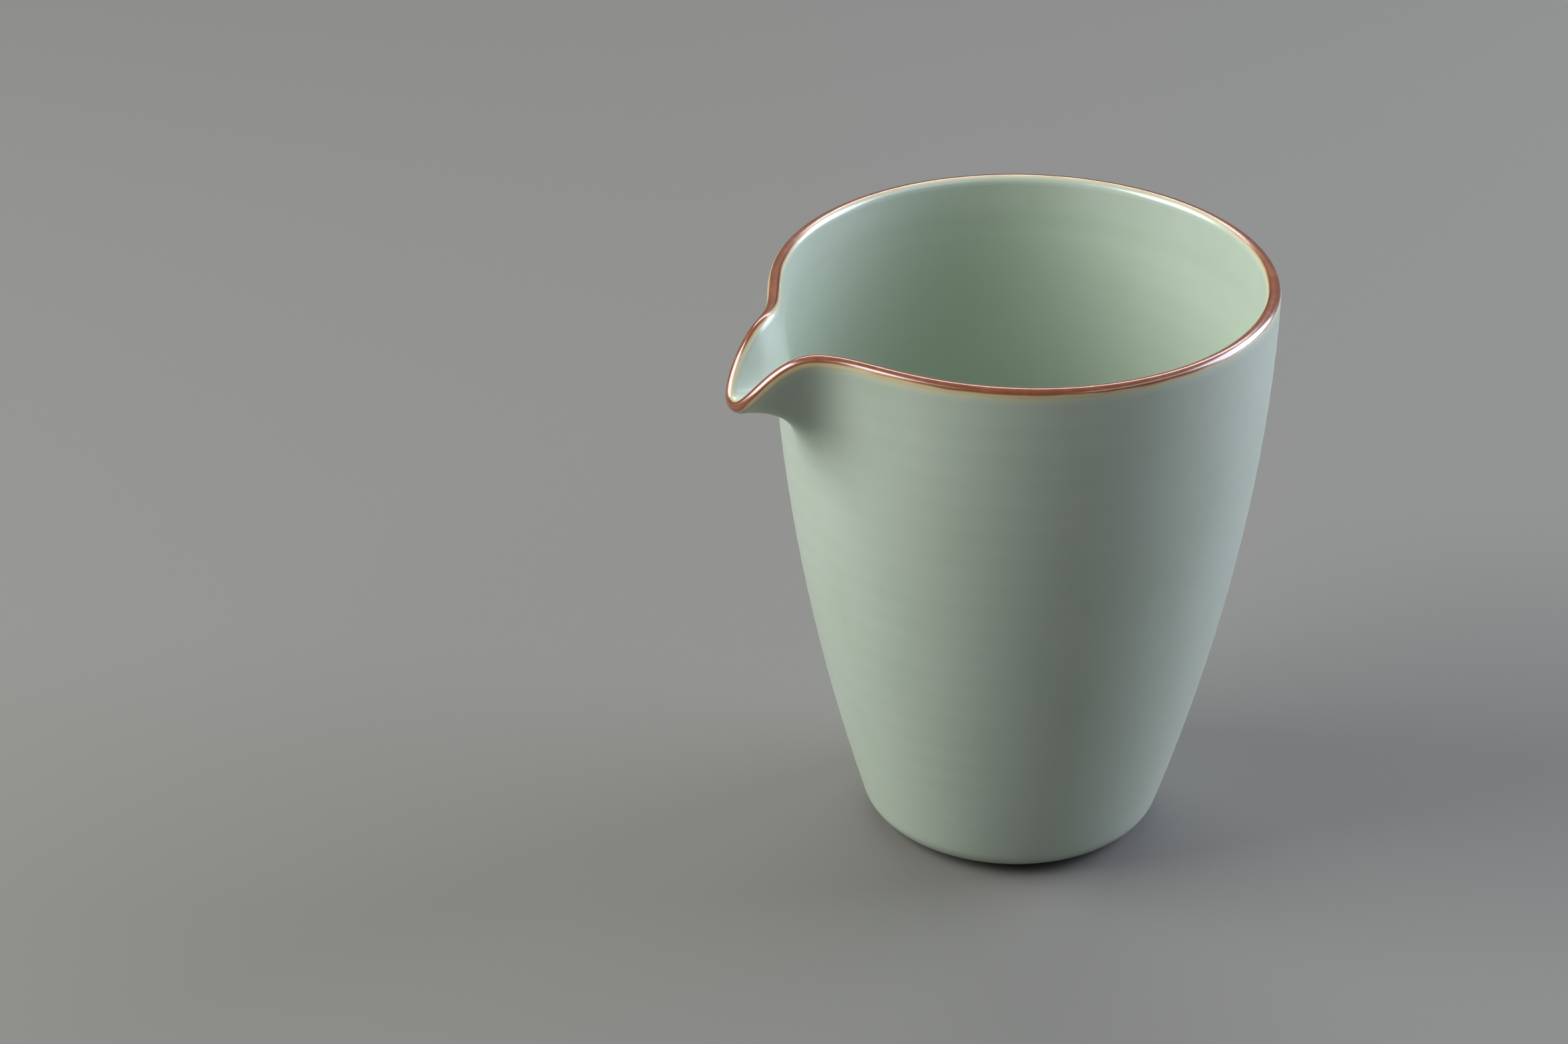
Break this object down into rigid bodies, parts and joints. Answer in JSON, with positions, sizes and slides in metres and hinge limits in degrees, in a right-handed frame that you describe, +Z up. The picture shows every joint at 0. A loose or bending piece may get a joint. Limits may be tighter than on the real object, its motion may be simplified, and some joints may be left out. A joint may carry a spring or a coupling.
{
  "type": "tea pitcher",
  "caption": "Small open glazed tea pitcher with a round flaring body, a pulled pouring spout, a brown-edged lip and a low foot ring.",
  "frame": {"origin": "under the middle of the whole outline, on the level that the foot ring stands on", "axes": "+Z up, along the pot's turning axis; +X towards the spout; +Y to the left of someone looking along +X"},
  "size_m": [0.0912, 0.0784, 0.095],
  "materials": {
    "bare_clay": "unglazed fired stoneware, matt, fine grained",
    "celadon_glaze": "grey-green celadon glaze, satin gloss",
    "iron_brown_lip": "thin glaze over iron-rich clay, glossy orange brown with a dark line"
  },
  "bodies": {
    "root": {"clay_body": "bare_clay", "outer_glaze": "celadon_glaze", "inner_glaze": "celadon_glaze", "lip_band": "iron_brown_lip", "foot_well_glaze": "celadon_glaze"}
  },
  "joints": []
}
